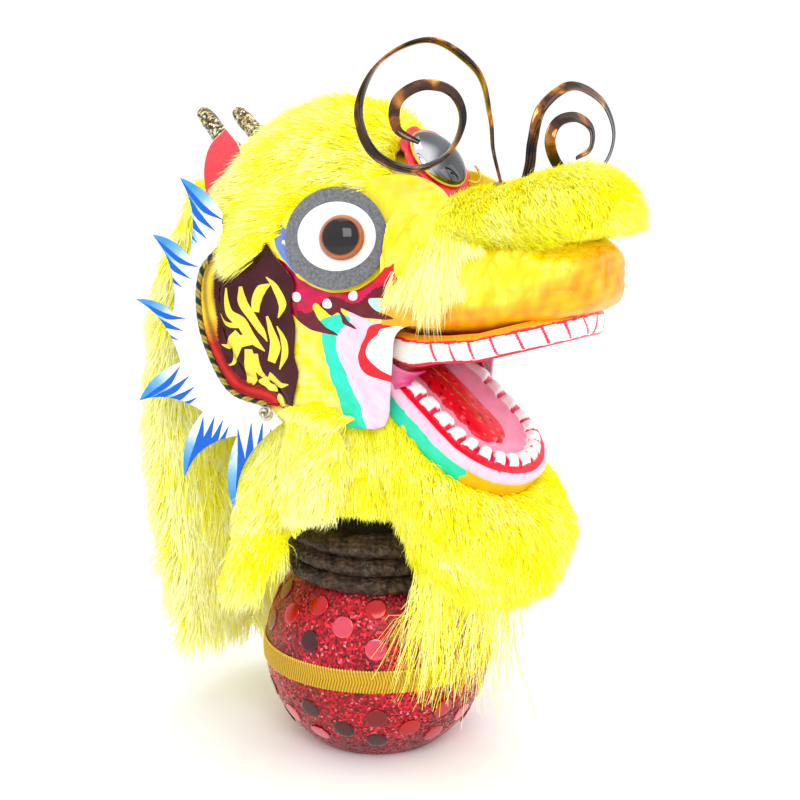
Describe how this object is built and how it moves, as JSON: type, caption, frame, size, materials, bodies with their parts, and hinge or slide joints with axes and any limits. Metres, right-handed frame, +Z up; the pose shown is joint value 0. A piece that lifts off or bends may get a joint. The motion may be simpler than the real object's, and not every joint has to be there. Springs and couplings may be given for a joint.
{
  "type": "festival dragon head",
  "caption": "Festival dragon head with artificial fur, an opening jaw, curled foil antennae and cheek fins, turning on a sequin-covered ball base.",
  "frame": {"origin": "centre of the flat base, on the surface it stands on", "axes": "+Z up along the neck post, -Y towards the dragon's snout, +X towards the dragon's left side"},
  "size_m": [0.1594, 0.237, 0.3178],
  "materials": {
    "bare_wood": "matte",
    "plaster": "matte",
    "papier_mache": "matte",
    "head_paint": "gloss",
    "snout_paint": "gloss",
    "mouth_red": "gloss",
    "tooth_paint": "gloss",
    "gum_pink": "gloss",
    "tongue_red": "gloss",
    "lip_teal": "gloss",
    "red_sequins": "satin",
    "gold_braid": "satin",
    "brown_wrap": "matte",
    "black_cloth": "matte",
    "washer_steel": "satin",
    "eye_washer": "satin",
    "yellow_fur": "matte",
    "pale_fur": "matte",
    "mirror_glass": "polished",
    "red_felt": "matte",
    "bead_metal": "polished",
    "bronze_foil": "polished",
    "maroon_foil": "gloss",
    "fin_sheet": "satin",
    "gold_piping": "satin",
    "ear_felt": "matte",
    "glitter_horn": "gloss",
    "grey_felt": "matte",
    "white_card": "satin",
    "eye_amber": "polished"
  },
  "bodies": {
    "base": {"base_disc": "bare_wood", "base_weight": "plaster", "neck_post": "bare_wood", "ball_core": "papier_mache", "top_disc": "bare_wood", "sequin_cover": "red_sequins", "braid_band": "gold_braid", "rim_piping": "gold_braid", "neck_wrap": "brown_wrap", "neck_sleeve": "black_cloth", "swivel_washer_lower": "washer_steel", "swivel_washer_upper": "washer_steel", "retaining_pin": "washer_steel"},
    "head": {"neck_socket": "bare_wood", "neck_web": "bare_wood", "neck_cone": "papier_mache", "head_shell": "head_paint", "snout_shell": "snout_paint", "palate": "mouth_red", "upper_teeth": "tooth_paint", "jaw_pins": "washer_steel", "eye_washers": "eye_washer", "fur_crown": "yellow_fur", "fur_throat": "yellow_fur", "fur_snout": "yellow_fur", "fur_mane": "pale_fur", "mirror_button": "mirror_glass", "mirror_patch": "red_felt", "cheek_beads": "bead_metal", "jaw_bracket_left": "papier_mache", "jaw_bracket_right": "papier_mache", "cheek_foil_left": "maroon_foil", "cheek_foil_right": "maroon_foil", "fin_left": "fin_sheet", "fin_right": "fin_sheet", "cheek_piping_left": "gold_piping", "cheek_piping_right": "gold_piping", "ear_left": "ear_felt", "ear_right": "ear_felt", "horn_left": "glitter_horn", "horn_right": "glitter_horn", "eye_ring_left": "grey_felt", "eye_ring_right": "grey_felt", "eye_white_left": "white_card", "eye_white_right": "white_card", "eye_dome_left": "eye_amber", "eye_dome_right": "eye_amber", "muzzle_tuft_left": "yellow_fur", "muzzle_tuft_right": "yellow_fur", "fur_cheek_left": "pale_fur", "fur_cheek_right": "pale_fur", "antenna_socket_left": "gold_piping", "antenna_socket_right": "gold_piping"},
    "jaw": {"jaw_shell": "lip_teal", "lower_gum": "gum_pink", "lower_teeth": "tooth_paint", "tongue": "tongue_red", "fur_chin": "pale_fur", "beard": "pale_fur"},
    "antenna_left": {"antenna_left": "bronze_foil"},
    "antenna_right": {"antenna_right": "bronze_foil"}
  },
  "joints": [
    {"name": "head_turn", "type": "hinge", "parent": "base", "child": "head", "pos_m": [0, 0, 0.14], "axis": [0, 0, 1], "range_deg": [-35, 35]},
    {"name": "jaw_hinge", "type": "hinge", "parent": "head", "child": "jaw", "pos_m": [0, -0.024, 0.184], "axis": [-1, 0, 0], "range_deg": [0, 30]},
    {"name": "antenna_left_sway", "type": "hinge", "parent": "head", "child": "antenna_left", "pos_m": [0.014, -0.07, 0.2584], "axis": [-0.227, -0.9739, 0], "range_deg": [-5, 5], "stiffness_Nm_per_rad": 0.03},
    {"name": "antenna_right_sway", "type": "hinge", "parent": "head", "child": "antenna_right", "pos_m": [-0.012, -0.076, 0.2624], "axis": [0.8189, 0.5739, 0], "range_deg": [-5, 5], "stiffness_Nm_per_rad": 0.03}
  ]
}
